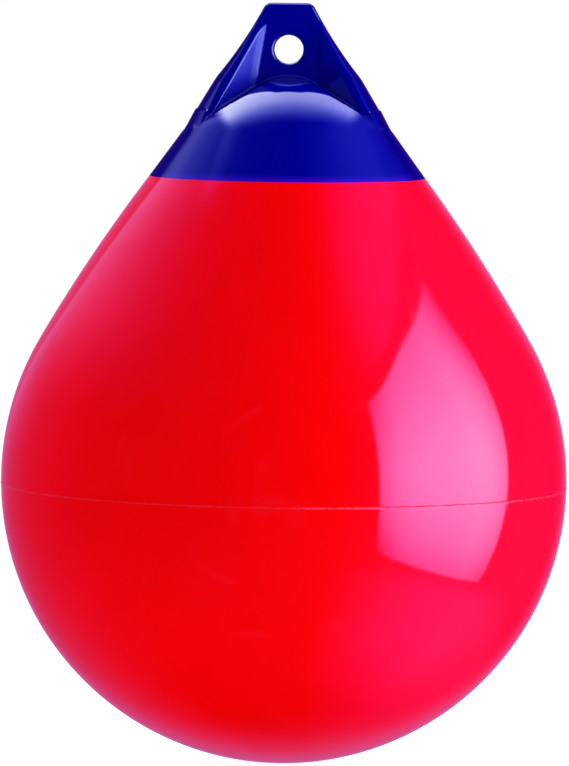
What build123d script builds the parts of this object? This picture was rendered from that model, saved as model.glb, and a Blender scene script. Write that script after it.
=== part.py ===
from build123d import *
import os
from math import cos, radians, sin, tan

os.makedirs("parts", exist_ok=True)

# Inflatable teardrop mooring buoy: a vinyl float with a rope eye moulded on its top.
# Millimetres. The origin is the centre of the rope eye's bore, +Z is up and the bore runs along Y.
# The plain front of the shoulder faces -Y, and the inflation valve is at the back, on the +Y side.
# A drop is a distance below the bore's centre. The float and the cap are closed all round, so
# both are solid to their outside, without the air that fills the real ones.

# ---- Float body ----
BODY_DIAMETER = 432.0        # across the widest ring
WIDEST_DROP = 330.0          # bore centre down to the widest ring
BALL_ANGLE = 30.0            # degrees above the widest ring where the ball runs out into the taper
BEAD_WIDTH = 2.0             # flash line left where the mould's two halves met
BEAD_HEIGHT = 0.6
BEAD_OFFSET = 3.0            # the mould parts this far below the widest ring

# ---- Shoulder of the eye cap ----
SEAM_DROP = 97.2             # where the cap's skirt is welded to the float
SEAM_RADIUS = 105.3
SHOULDER_SLOPE = 36.0        # degrees from vertical
DOME_DROP = 19.5             # crown of the ball that rounds the shoulder over, under the web

# ---- Rope eye ----
BORE_RADIUS = 11.0
BORE_ROUNDING = 3.0
WEB_THICKNESS = 14.0
EYE_TOP = 35.4
EYE_TOP_HALF_WIDTH = 17.6
EYE_TOP_ROUNDING = 3.5
EYE_WAIST_HOLLOW = 1.8       # how far each side curves in between its top and its knee
KNEE_HALF_WIDTH = 55.3
KNEE_DROP = 21.8
LEDGE_DROP = 46.0            # small step round the outside of the cheeks
LEDGE_WIDTH = 1.0

# ---- Pockets in front of and behind the web, between the two cheeks ----
POCKET_TOP = 22.0            # height where the cheeks begin to stand out from the web
POCKET_HALF_WIDTH = 18.5     # half of the web's flat width at that height
POCKET_SIDE_SLOPE = 9.3      # degrees by which the web widens downwards
POCKET_SPLAY = 45.0          # degrees by which the pocket's side walls open outwards
CHEEK_FLARE = 21.2           # degrees from the web to the cheeks' front faces
POCKET_CORNER = 7.0
FLOOR_DROP = 20.3            # ridge of the pocket's floor, a rounded gable that sheds to both sides
FLOOR_RADIUS = 38.0
FLOOR_SLOPE = 31.0           # degrees from horizontal
FLOOR_ROUNDING = 2.5         # between the floor and the pocket's walls

# ---- Inflation valve ----
VALVE_DROP = 80.0            # height of the valve's centre on the back of the shoulder
VALVE_BOSS_RADIUS = 14.0
VALVE_BOSS_HEIGHT = 3.0
INSERT_RADIUS = 8.0
INSERT_DEPTH = 10.0          # how far the bush reaches in below the boss's face
INSERT_CLEARANCE = 0.1
INSERT_ROOM = 2.0            # room left under the bush
FLANGE_RADIUS = 12.0
FLANGE_THICKNESS = 1.5
SCREW_RADIUS = 5.0
SCREW_LENGTH = 12.0
SCREW_CLEARANCE = 0.2
HEAD_RADIUS = 9.0
HEAD_HEIGHT = 3.0
HEAD_CHAMFER = 0.8
WASHER_THICKNESS = 1.2
SLOT_WIDTH = 2.0
SLOT_DEPTH = 1.6

BODY_RADIUS = BODY_DIAMETER / 2
CONE_TANGENT = Vector(-sin(radians(SHOULDER_SLOPE)), cos(radians(SHOULDER_SLOPE)))
CONE_NORMAL = Vector(cos(radians(SHOULDER_SLOPE)), sin(radians(SHOULDER_SLOPE)))
SEAM = Vector(SEAM_RADIUS, -SEAM_DROP)
DOME_CENTRE = Vector(0, -(DOME_DROP + SEAM.dot(CONE_NORMAL)) / (1 - CONE_NORMAL.Y))
DOME_RADIUS = -DOME_DROP - DOME_CENTRE.Y
SHOULDER_TOP = DOME_CENTRE + CONE_NORMAL * DOME_RADIUS      # where the cone turns into the dome


def on_circle(centre, radius, angle):
    """Point of a circle at an angle in degrees above the horizontal."""
    return centre + Vector(cos(radians(angle)), sin(radians(angle))) * radius


def arc_about(centre, radius, start, end):
    """Arc of a circle from one angle to another."""
    middle = (start + end) / 2
    return ThreePointArc(*(on_circle(centre, radius, angle) for angle in (start, middle, end)))


def turned(outline):
    """Solid turned about the Z axis from a closed half outline of (radius, height)."""
    return revolve(Plane.XZ * make_face(outline), Axis.Z)


def float_body():
    """Float, a ball that runs out into a long taper, with the flash line of its mould."""
    ball = arc_about(Vector(0, -WIDEST_DROP), BODY_RADIUS, -90, BALL_ANGLE)
    taper = TangentArc(ball @ 1, SEAM, tangent=ball % 1)
    body = turned(ball + taper + Polyline(SEAM, (0, -SEAM_DROP), ball @ 0))
    parting = -WIDEST_DROP - BEAD_OFFSET
    bead = Polyline(
        (BODY_RADIUS - BEAD_HEIGHT, parting - BEAD_WIDTH),
        (BODY_RADIUS + BEAD_HEIGHT, parting),
        (BODY_RADIUS - BEAD_HEIGHT, parting + BEAD_WIDTH),
        close=True,
    )
    return body + turned(bead)


def shoulder():
    """Shoulder of the cap: a cone up from the seam, rounded over by a ball centred on the axis."""
    dome = arc_about(DOME_CENTRE, DOME_RADIUS, SHOULDER_SLOPE, 90)
    return turned(Line(SEAM, SHOULDER_TOP) + dome + Polyline(dome @ 1, (0, -SEAM_DROP), SEAM))


def eye_blank():
    """Turned blank of the rope eye: flat top, hollow waist, knee, ledge and foot on the shoulder."""
    top_corner = Vector(EYE_TOP_HALF_WIDTH, EYE_TOP)
    knee = Vector(KNEE_HALF_WIDTH, -KNEE_DROP)
    foot_run = SHOULDER_TOP - knee
    ledge = knee + foot_run * ((KNEE_DROP - LEDGE_DROP) / foot_run.Y)
    return turned(
        Line((0, EYE_TOP), top_corner)
        + SagittaArc(top_corner, knee, -EYE_WAIST_HOLLOW)
        + Polyline(knee, ledge, ledge + Vector(LEDGE_WIDTH, 0), SHOULDER_TOP, (0, SHOULDER_TOP.Y))
        + Line((0, SHOULDER_TOP.Y), (0, EYE_TOP))
    )


def cheek_wedge():
    """Wedge seen from the side: the web's thickness down to the pockets' top, then flaring."""
    flare = (POCKET_TOP + SEAM_DROP) * tan(radians(CHEEK_FLARE))
    half = WEB_THICKNESS / 2
    outline = Polyline(
        (-half, EYE_TOP),
        (-half, POCKET_TOP),
        (-half - flare, -SEAM_DROP),
        (half + flare, -SEAM_DROP),
        (half, POCKET_TOP),
        (half, EYE_TOP),
        close=True,
    )
    return extrude(Plane.YZ * make_face(outline), KNEE_HALF_WIDTH * 2, both=True)


def pocket_section(height):
    """Trapezium cut through the front pocket at a height: web face at the back, splayed walls."""
    web_half = POCKET_HALF_WIDTH + (POCKET_TOP - height) * tan(radians(POCKET_SIDE_SLOPE))
    near = -WEB_THICKNESS / 2
    far = -SEAM_RADIUS
    far_half = web_half + (near - far) / tan(radians(POCKET_SPLAY))
    outline = Polyline((-web_half, near), (web_half, near), (far_half, far), (-far_half, far), close=True)
    return Pos(0, 0, height) * make_face(outline)


def above_floor():
    """Everything above the pocket's floor, a gable rounded along its ridge."""
    centre = Vector(0, -FLOOR_DROP - FLOOR_RADIUS)
    ridge = arc_about(centre, FLOOR_RADIUS, 90 - FLOOR_SLOPE, 90 + FLOOR_SLOPE)
    eave = SEAM_RADIUS * 2
    fall = (eave - (ridge @ 0).X) * tan(radians(FLOOR_SLOPE))
    eave_height = (ridge @ 0).Y - fall
    top = EYE_TOP + EYE_TOP_ROUNDING
    outline = ridge + Polyline(
        ridge @ 1, (-eave, eave_height), (-eave, top), (eave, top), (eave, eave_height), ridge @ 0
    )
    return extrude(Plane.XZ * make_face(outline), SEAM_RADIUS * 2, both=True)


def front_pocket():
    """Cutter of the front pocket, with its corners and the rim of its floor rounded."""
    cutter = loft([pocket_section(-SEAM_DROP), pocket_section(EYE_TOP + EYE_TOP_ROUNDING)], ruled=True)
    cutter &= above_floor()
    web_corners = cutter.edges().filter_by(lambda edge: abs(edge.center().Y + WEB_THICKNESS / 2) < 0.01)
    web_corners = web_corners.filter_by(lambda edge: edge.bounding_box().size.Z > FLOOR_DROP * 2)
    cutter = fillet(web_corners, POCKET_CORNER)
    floor_faces = cutter.faces().filter_by(is_floor)
    floor_rim = [edge for edge in cutter.edges() if sum(edge in face.edges() for face in floor_faces) == 1]
    floor_rim = [edge for edge in floor_rim if edge.center().Y > -SEAM_RADIUS + 0.01]
    return fillet(floor_rim, FLOOR_ROUNDING)


def is_floor(face):
    """Whether a face of the pocket's cutter is part of its floor."""
    return face.normal_at(face.center()).Z < -cos(radians(FLOOR_SLOPE)) + 0.01


def is_bore_mouth(edge):
    """Whether an edge is one of the two rims of the bore."""
    return edge.geom_type == GeomType.CIRCLE and abs(edge.radius - BORE_RADIUS) < BORE_RADIUS / 1000


def cylinder_between(radius, bottom, top):
    """Upright cylinder from one height to another."""
    return Pos(0, 0, (bottom + top) / 2) * Cylinder(radius, top - bottom)


def tube_between(outside, inside, bottom, top):
    """Upright tube from one height to another."""
    return cylinder_between(outside, bottom, top) - cylinder_between(inside, bottom, top)


def valve_place():
    """Frame on the back of the shoulder's cone, with its Z axis square to the surface."""
    on_cone = SEAM + CONE_TANGENT * ((SEAM_DROP - VALVE_DROP) / CONE_TANGENT.Y)
    return Plane(
        origin=(0, on_cone.X, on_cone.Y),
        x_dir=(1, 0, 0),
        z_dir=(0, CONE_NORMAL.X, CONE_NORMAL.Y),
    )


def rope_eye_cap():
    """Eye cap in one moulding: shoulder, web with its bore, cheeks and the valve's drilled boss."""
    pocket = front_pocket()
    cap = (eye_blank() & cheek_wedge()) + shoulder() - pocket - mirror(pocket, Plane.XZ)
    cap = fillet(cap.edges().group_by(Axis.Z)[-1], EYE_TOP_ROUNDING)
    cap -= Cylinder(BORE_RADIUS, SEAM_RADIUS, rotation=(90, 0, 0))
    cap = fillet(cap.edges().filter_by(is_bore_mouth), BORE_ROUNDING)
    hole_floor = VALVE_BOSS_HEIGHT - INSERT_DEPTH - INSERT_ROOM
    boss = cylinder_between(VALVE_BOSS_RADIUS, hole_floor, VALVE_BOSS_HEIGHT)
    drill = cylinder_between(INSERT_RADIUS + INSERT_CLEARANCE, hole_floor, VALVE_BOSS_HEIGHT)
    return cap + valve_place() * boss - valve_place() * drill


def valve_insert():
    """Flanged nylon bush, pressed through the boss into the shoulder."""
    hole_radius = SCREW_RADIUS + SCREW_CLEARANCE
    flange_top = VALVE_BOSS_HEIGHT + FLANGE_THICKNESS
    bush = tube_between(INSERT_RADIUS, hole_radius, VALVE_BOSS_HEIGHT - INSERT_DEPTH, flange_top)
    return valve_place() * (bush + tube_between(FLANGE_RADIUS, hole_radius, VALVE_BOSS_HEIGHT, flange_top))


def valve_washer():
    """Rubber washer between the insert's flange and the screw's head."""
    foot = VALVE_BOSS_HEIGHT + FLANGE_THICKNESS
    hole_radius = SCREW_RADIUS + SCREW_CLEARANCE
    return valve_place() * tube_between(HEAD_RADIUS, hole_radius, foot, foot + WASHER_THICKNESS)


def valve_screw():
    """Slotted screw that closes the valve."""
    head_foot = VALVE_BOSS_HEIGHT + FLANGE_THICKNESS + WASHER_THICKNESS
    head_top = head_foot + HEAD_HEIGHT
    head = cylinder_between(HEAD_RADIUS, head_foot, head_top)
    head = chamfer(head.edges().group_by(Axis.Z)[-1], HEAD_CHAMFER)
    slot = Pos(0, 0, head_top - SLOT_DEPTH / 2) * Box(HEAD_RADIUS * 3, SLOT_WIDTH, SLOT_DEPTH)
    shank = cylinder_between(SCREW_RADIUS, head_foot - SCREW_LENGTH, head_foot)
    return valve_place() * (head - slot + shank)


PARTS = {
    "float_body": float_body(),
    "rope_eye_cap": rope_eye_cap(),
    "valve_insert": valve_insert(),
    "valve_washer": valve_washer(),
    "valve_screw": valve_screw(),
}

for name, solid in PARTS.items():
    export_step(solid, f"parts/{name}.step")
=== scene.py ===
"""Finished surfaces, materials and studio of an inflatable teardrop mooring buoy.

The float, the moulded eye cap and the inflation valve are surfaces worked out with numpy round the
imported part. Metres, +Z up, with the origin at the centre of the rope eye's bore.
"""

import bpy
import numpy as np
from mathutils import Matrix, Vector


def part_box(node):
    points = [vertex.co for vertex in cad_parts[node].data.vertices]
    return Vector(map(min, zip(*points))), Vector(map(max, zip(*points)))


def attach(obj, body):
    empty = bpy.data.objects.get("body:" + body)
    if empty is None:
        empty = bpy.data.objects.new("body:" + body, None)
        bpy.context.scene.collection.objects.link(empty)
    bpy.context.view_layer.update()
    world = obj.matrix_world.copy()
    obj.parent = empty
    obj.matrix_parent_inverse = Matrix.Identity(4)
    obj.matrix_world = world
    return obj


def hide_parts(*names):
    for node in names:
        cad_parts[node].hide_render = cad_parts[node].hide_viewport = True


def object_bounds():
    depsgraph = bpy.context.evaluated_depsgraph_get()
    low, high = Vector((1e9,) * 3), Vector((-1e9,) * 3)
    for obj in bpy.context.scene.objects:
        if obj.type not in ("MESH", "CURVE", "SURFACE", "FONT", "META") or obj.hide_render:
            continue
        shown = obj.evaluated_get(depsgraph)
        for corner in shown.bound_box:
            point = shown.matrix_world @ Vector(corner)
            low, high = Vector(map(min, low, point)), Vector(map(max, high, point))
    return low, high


bl_info = {
    "name": "Mooring Buoy",
    "version": (1, 0, 0),
    "blender": (4, 5, 0),
    "location": "3D View > Sidebar > Buoy",
    "description": "Builds an inflatable mooring buoy with a moulded rope eye, and a studio for it",
    "category": "Add Mesh",
}

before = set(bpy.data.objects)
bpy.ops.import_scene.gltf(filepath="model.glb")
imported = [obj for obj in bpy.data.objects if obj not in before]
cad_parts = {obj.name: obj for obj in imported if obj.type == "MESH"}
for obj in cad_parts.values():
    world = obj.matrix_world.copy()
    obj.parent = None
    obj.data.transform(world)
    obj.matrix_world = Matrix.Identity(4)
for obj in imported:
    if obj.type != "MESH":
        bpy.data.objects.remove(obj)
CAD_BOX = [list(corner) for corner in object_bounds()]
FLOAT_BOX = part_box("float_body")
CAP_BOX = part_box("rope_eye_cap")
SEAM_RADIUS = (CAP_BOX[1].x - CAP_BOX[0].x) / 2
MM = 0.001
MICRON = 1e-6


# ---- Settings ----


def length(name, description, default):
    """A length property in metres."""
    return bpy.props.FloatProperty(
        name=name, description=description, default=default, unit="LENGTH", precision=5
    )


def angle(name, description, degrees):
    """An angle property, given in degrees."""
    return bpy.props.FloatProperty(
        name=name, description=description, default=np.radians(degrees), subtype="ANGLE", unit="ROTATION"
    )


def amount(name, description, default):
    """A plain number."""
    return bpy.props.FloatProperty(name=name, description=description, default=default, precision=4)


def count(name, description, default):
    """A whole number."""
    return bpy.props.IntProperty(name=name, description=description, default=default)


def colour(name, description, default):
    """A linear colour."""
    return bpy.props.FloatVectorProperty(
        name=name, description=description, default=default, subtype="COLOR", size=3, min=0, max=1
    )


class FloatSettings(bpy.types.PropertyGroup):
    """Sizes of the inflated float."""

    bead_height: length("Flash line height", "How far the mould's flash line stands out", 0.3 * MM)
    bead_width: length("Flash line width", "Width of the flash line at its foot", 2.4 * MM)
    bead_offset: length("Flash line offset", "How far below the widest ring the mould parts", 3 * MM)
    ball_angle: angle("Ball angle", "Latitude where the ball runs out into the taper", 30)
    columns: count("Columns", "Faces round the float", 480)
    rows: count("Rows", "Faces from the lowest point to the seam", 190)


class CapSettings(bpy.types.PropertyGroup):
    """Sizes of the moulded eye cap."""

    slope: angle("Shoulder slope", "Slope of the shoulder's cone from vertical", 36)
    dome_drop: length("Dome drop", "Bore centre down to the crown of the dome", 19.5 * MM)
    bore_radius: length("Bore radius", "Radius of the rope eye's bore", 11 * MM)
    bore_rounding: length("Bore rounding", "Rounding of the bore's two rims", 3 * MM)
    web_thickness: length("Web thickness", "Thickness of the web round the bore", 14 * MM)
    top_half_width: length("Top half width", "Half of the eye's width at its top", 17.6 * MM)
    top_rounding: length("Top rounding", "Rounding of the eye's top edges", 3.5 * MM)
    waist_hollow: length("Waist hollow", "How far each side curves in above its knee", 1.8 * MM)
    knee_half_width: length("Knee half width", "Half of the eye's width at its knee", 55.3 * MM)
    knee_drop: length("Knee drop", "Bore centre down to the knee", 21.8 * MM)
    ledge_drop: length("Ledge drop", "Bore centre down to the step round the cheeks", 46 * MM)
    ledge_width: length("Ledge width", "Width of that step", MM)
    pocket_top: length("Pocket top", "Height where the cheeks begin to stand out from the web", 22 * MM)
    pocket_half_width: length("Pocket half width", "Half of the web's width at that height", 18.5 * MM)
    pocket_slope: angle("Pocket slope", "Angle by which the web widens downwards", 9.3)
    pocket_corner: length("Pocket corner", "Rounding between the web and the pocket's walls", 7 * MM)
    floor_drop: length("Floor drop", "Bore centre down to the ridge of the pocket's floor", 20.3 * MM)
    floor_radius: length("Floor radius", "Rounding of that ridge", 38 * MM)
    floor_slope: angle("Floor slope", "Slope of the floor to both sides", 31)
    floor_rounding: length("Floor rounding", "Rounding between the floor and the pocket's walls", 2.5 * MM)
    cheek_flare: angle("Cheek flare", "Angle from the web to the cheeks' front faces", 21.2)
    edge_rounding: length("Edge rounding", "Rounding of the cheeks' front edges", 1.2 * MM)
    knee_rounding: length("Knee rounding", "Rounding of the knee", 0.5 * MM)
    ledge_rounding: length("Ledge rounding", "Rounding of that step and of its crease", 0.3 * MM)
    foot_rounding: length("Foot rounding", "Fillet round the eye's foot, outside the pockets", 0.4 * MM)
    pocket_edge: length("Pocket edge", "Rounding where the pocket's floor cuts the shoulder", 0.6 * MM)


class ValveSettings(bpy.types.PropertyGroup):
    """Sizes of the inflation valve at the back."""

    drop: length("Drop", "Bore centre down to the middle of the boss on the cone", 80 * MM)
    boss_radius: length("Boss radius", "Radius of the boss moulded on the cone", 14 * MM)
    boss_height: length("Boss height", "How far the boss stands out", 3 * MM)
    boss_foot: length("Boss foot", "Radius of the fillet round the boss's foot", 1.6 * MM)
    boss_edge: length("Boss edge", "Rounding of the boss's top edge", 0.7 * MM)
    insert_radius: length("Insert radius", "Radius of the insert's barrel", 8 * MM)
    insert_depth: length("Insert depth", "Depth of the insert's barrel below its flange", 10 * MM)
    flange_radius: length("Flange radius", "Radius of the insert's flange", 12 * MM)
    flange_thickness: length("Flange thickness", "Thickness of that flange", 1.5 * MM)
    hole_radius: length("Hole radius", "Radius of the hole for the screw", 5.2 * MM)
    washer_thickness: length("Washer thickness", "Thickness of the sealing washer", 1.2 * MM)
    screw_radius: length("Screw radius", "Radius of the screw's shank", 5 * MM)
    screw_length: length("Screw length", "Length of the screw's shank", 12 * MM)
    head_radius: length("Head radius", "Radius of the screw's head and of the washer", 9 * MM)
    head_height: length("Head height", "Height of the screw's head", 3 * MM)
    head_chamfer: length("Head chamfer", "Width of the chamfer round the head", 0.8 * MM)
    slot_width: length("Slot width", "Width of the screw's slot", 2 * MM)
    slot_depth: length("Slot depth", "Depth of the screw's slot", 1.6 * MM)
    columns: count("Columns", "Faces round the valve's parts", 96)


class FinishSettings(bpy.types.PropertyGroup):
    """Colours of the finishes, and how glossy the vinyl is."""

    red: colour("Red", "The float's vinyl", (0.79, 0, 0))
    red_shade: colour("Red shade", "Broad patches of the float", (0.75, 0, 0))
    trimmed: colour("Trimmed flash", "Flecks where the float's flash line was trimmed", (0.84, 0.025, 0.06))
    blue: colour("Blue", "The cap's vinyl", (0, 0, 0.23))
    blue_shade: colour("Blue shade", "Broad patches of the cap", (0, 0, 0.21))
    # Painted light: a paler blue where the softbox's light falls on the pockets' left walls.
    painted_lit_blue: colour("Dusty blue", "The dull parts of the pockets", (0, 0, 0.6))
    # Painted glow: the red float's light on the cap just above the colour line, and how far up it fades out.
    red_glow_blue: colour("Blue at the line", "The cap where it meets the float", (0.025, 0.002, 0.44))
    red_glow_reach: length("Line reach", "How far up from the colour line that blue fades out", 6 * MM)
    # Painted shade: a darker plain blue in place of the gloss at low angles and in front of the web.
    painted_shade_blue: colour("Plain blue", "The cap where its gloss is hidden", (0, 0, 0.12))
    gloss: amount("Vinyl roughness", "Roughness of the glossy vinyl", 0.065)
    nylon: colour("Nylon", "The valve's insert and screw", (0.43, 0.42, 0.395))
    nylon_shade: colour("Nylon shade", "Broad patches of the nylon", (0.38, 0.37, 0.34))
    rubber: colour("Rubber", "The valve's washer", (0.025, 0.025, 0.027))
    rubber_shade: colour("Rubber shade", "Broad patches of the rubber", (0.04, 0.04, 0.042))


class StudioSettings(bpy.types.PropertyGroup):
    """Lights and floor."""

    ambient: amount("Ambient", "Soft light from all sides", 0.70)
    lean: amount("Lean", "Share by which the soft light is stronger at the left", 0.67)
    softbox_turn: angle("Softbox turn", "Direction of the softbox, from the front towards the right", 78)
    softbox_distance: length("Softbox distance", "From the axis to the softbox", 1.5)
    softbox_strength: amount("Softbox strength", "Light of the softbox at its brightest", 5.0)
    ceiling_height: length("Ceiling height", "Bore centre up to the overhead panel", 1.5)
    ceiling_strength: amount("Ceiling strength", "Light of the overhead panel at its middle", 3.5)
    surround_radius: length("Surround radius", "Distance of the dull walls", 4)
    floor_size: length("Floor size", "Half the side of the floor", 30)
    floor_gap: length("Floor gap", "Room between the float and the floor", 4 * MM)
    floor_grey: amount("Floor grey", "Brightness of the floor's colour", 0.35)
    floor_glow: amount("Floor glow", "Light by which the floor is lifted to near white", 0.92)
    floor_near: length("Shadow reach", "How far out the floor shows the shadow in full", 0.5)
    floor_far: length("Backdrop reach", "From where on the floor is as white as the backdrop", 1.2)


class CameraSettings(bpy.types.PropertyGroup):
    """Place and aim of the camera, from the bore's centre."""

    distance: length("Distance", "How far in front the camera stands", 5.6)
    height: length("Height", "How far up it stands", 0.128)
    aim_across: length("Aim across", "How far to the right its middle points", -0.3 * MM)
    aim_height: length("Aim height", "Height its middle points at", -255 * MM)
    roll: angle("Roll", "Turn about its own axis", 0.7)
    focal_length: amount("Focal length", "Focal length of the lens in millimetres", 344.9)


class BuoySettings(bpy.types.PropertyGroup):
    """All settings of the buoy."""

    skin: bpy.props.PointerProperty(name="Float", type=FloatSettings)
    cap: bpy.props.PointerProperty(name="Eye cap", type=CapSettings)
    valve: bpy.props.PointerProperty(name="Valve", type=ValveSettings)
    finish: bpy.props.PointerProperty(name="Finish", type=FinishSettings)
    studio: bpy.props.PointerProperty(name="Studio", type=StudioSettings)
    camera: bpy.props.PointerProperty(name="Camera", type=CameraSettings)


# ---- Meshes ----


def grid_quads(rows, columns, closed=False):
    """Corner numbers of a grid's quads, row by row; closed joins the last column to the first."""
    index = np.arange(rows * columns).reshape(rows, columns)
    if closed:
        index = np.concatenate([index, index[:, :1]], axis=1)
    corners = [index[:-1, :-1], index[:-1, 1:], index[1:, 1:], index[1:, :-1]]
    return np.stack([c.ravel() for c in corners], axis=1)


def weld(points, faces):
    """Merges points that agree to a micron and drops the corners that a face then repeats.

    Also gives the numbers of the points that stay.
    """
    keys = np.round(points / MICRON).astype(np.int64)
    _, first, number = np.unique(keys, axis=0, return_index=True, return_inverse=True)
    number = number.ravel()
    welded = [list(dict.fromkeys(face)) for face in number[faces].tolist()]
    return points[first], [face for face in welded if len(face) > 2], first


def joined(parts):
    """Points and faces of several surfaces, given as pairs, numbered on as one."""
    start, points, faces = 0, [], []
    for part_points, part_faces in parts:
        points.append(part_points)
        faces.append(part_faces + start)
        start += len(part_points)
    return np.concatenate(points), np.concatenate(faces)


def add_piece(name, points, faces, material, slot, replaces=(), normals=None, sharp=None, dull=None):
    """Smooth mesh object at the origin that rides on the root body and stands for CAD nodes.

    Edges bent by more than sharp stay sharp, and dull says where the surface is less polished (0 to 1);
    on the cap it also says where its material paints light and shade.
    """
    mesh = bpy.data.meshes.new(name)
    mesh.from_pydata(points.tolist(), [], faces if isinstance(faces, list) else faces.tolist())
    mesh.shade_smooth()
    mesh.materials.append(material)
    if dull is not None:
        mesh.attributes.new("dull", "FLOAT", "POINT").data.foreach_set("value", dull)
    if sharp is not None:
        mesh.set_sharp_from_angle(angle=sharp)
    mesh.validate()
    if normals is not None:
        mesh.normals_split_custom_set_from_vertices(normals.tolist())
    piece = bpy.data.objects.new(name, mesh)
    bpy.context.scene.collection.objects.link(piece)
    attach(piece, "root")
    if replaces:
        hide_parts(*replaces)


def turned(profile, columns):
    """Points of a profile of (radius, height) carried round the Z axis, one row to each profile point."""
    turn = np.linspace(0, 2 * np.pi, columns, endpoint=False)
    radius, height = profile[:, :1], profile[:, 1:]
    return np.stack([radius * np.sin(turn), -radius * np.cos(turn), height + 0 * turn], axis=-1)


def eased(value, start, end):
    """Rises from 0 at start to 1 at end, as three times the square of the share less twice its cube."""
    share = np.clip((value - start) / (end - start), 0, 1)
    return share * share * (3 - 2 * share)


def band(value, start, full, fading, gone):
    """Rises from 0 at start to 1 when full, and falls again from fading until gone."""
    return eased(value, start, full) * (1 - eased(value, fading, gone))


def eased_min(a, b, reach):
    """The lesser of two values, eased by a parabola where they differ by less than reach."""
    reach = np.maximum(reach, MICRON)
    return np.minimum(a, b) - np.maximum(reach - np.abs(a - b), 0) ** 2 / (4 * reach)


# ---- Float ----


def float_sizes(skin):
    """Ball's centre and radius, seam point, taper's centre and radius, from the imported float's box.

    The taper's circle starts along the ball's tangent and passes through the seam, so its radius is
    the square of their chord over twice the chord's part along the normal.
    """
    radius = min(FLOAT_BOX[1].x, -FLOAT_BOX[0].x) - skin.bead_height
    centre = np.array([0, FLOAT_BOX[0].z + radius])
    normal = np.array([np.cos(skin.ball_angle), np.sin(skin.ball_angle)])
    start = centre + radius * normal
    seam = np.array([SEAM_RADIUS, FLOAT_BOX[1].z])
    chord = seam - start
    taper_radius = -(chord @ chord) / (2 * (chord @ normal))
    return centre, radius, seam, start - normal * taper_radius, taper_radius


# Rows over the flash line, and how many radians the ball's turn and the taper's may differ by
# where the normals ease from one to the other.
BAND_ROWS = 16
NORMAL_EASING = 0.2


def float_profile(skin):
    """Meridian of the float, its normals, and how high the flash line's ridge stands from 0 to 1.

    The ball's circle from the lowest point is followed by the taper's, and the normals ease from one
    to the other over a small angle. Rows are evenly spaced, apart from a close band over the flash
    line, whose ridge is a raised cosine.
    """
    centre, radius, seam, taper_centre, taper_radius = float_sizes(skin)
    ball_length = radius * (skin.ball_angle + np.pi / 2)
    reach = seam - taper_centre
    taper_length = taper_radius * (np.arctan2(reach[1], reach[0]) - skin.ball_angle)
    bead_at = radius * (np.pi / 2 - np.arcsin(skin.bead_offset / radius))
    close = bead_at + skin.bead_width * np.linspace(-1, 1, BAND_ROWS + 1)
    even = np.linspace(0, ball_length + taper_length, skin.rows - BAND_ROWS)
    travel = np.union1d(even[(even < close[0] - MM) | (even > close[-1] + MM)], close)
    on_ball = travel / radius - np.pi / 2
    on_taper = skin.ball_angle + (travel - ball_length) / taper_radius
    turn = np.minimum(on_ball, on_taper)
    normal = np.stack([np.cos(turn), np.sin(turn)], axis=1)
    ball = centre + radius * normal
    points = np.where(on_ball[:, None] < on_taper[:, None], ball, taper_centre + taper_radius * normal)
    phase = np.pi * np.clip((travel - bead_at) / (skin.bead_width / 2), -1, 1)
    ridge = (1 + np.cos(phase)) / 2
    points = points + skin.bead_height * normal * ridge[:, None]
    points[0, 0] = 0
    ridge_slope = np.pi * skin.bead_height / skin.bead_width * np.sin(phase)
    lean = eased_min(on_ball, on_taper, NORMAL_EASING) - np.arctan(ridge_slope)
    return points, np.stack([np.cos(lean), np.sin(lean)], axis=1), ridge


class BuildFloat(bpy.types.Operator):
    """Build the inflated float"""

    bl_idname = "buoy.build_float"
    bl_label = "Float"

    def execute(self, context):
        """Turns the meridian, closed by a flat top, and marks the flash line's scar on it.

        The scar is the ridge's share, in full at the right and three tenths of it at the left.
        """
        skin = context.scene.buoy.skin
        profile, normal, ridge = float_profile(skin)
        profile = np.concatenate([profile, [[0, profile[-1, 1]]]])
        normal = np.concatenate([normal, [[0, 1]]])
        points, normals = turned(profile, skin.columns), turned(normal, skin.columns)
        quads = grid_quads(*points.shape[:2], closed=True)
        scar = np.append(ridge, 0)[:, None] * (0.3 + 0.7 * eased(points[..., 0], -10 * MM, 10 * MM))
        points, faces, first = weld(points.reshape(-1, 3), quads)
        normals, scar = normals.reshape(-1, 3)[first], scar.ravel()[first]
        add_piece("float_skin", points, faces, red_vinyl(), "red_vinyl", ["float_body"], normals, dull=scar)
        return {"FINISHED"}


# ---- Eye cap ----


def circular_min(a, b, reach):
    """Union of two distance fields, filleted where both come within reach.

    It is the greater of reach and the lesser field, less the length of what each falls short of reach.
    """
    return np.maximum(reach, np.minimum(a, b)) - np.hypot(np.maximum(reach - a, 0), np.maximum(reach - b, 0))


def circular_max(a, b, reach):
    """Overlap of two distance fields, rounded in the same way."""
    return -circular_min(-a, -b, reach)


# Steps by which points settle on the cap's surface, and halvings that find its roots.
NEWTON_STEPS = 14
HALVINGS = 50


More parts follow.
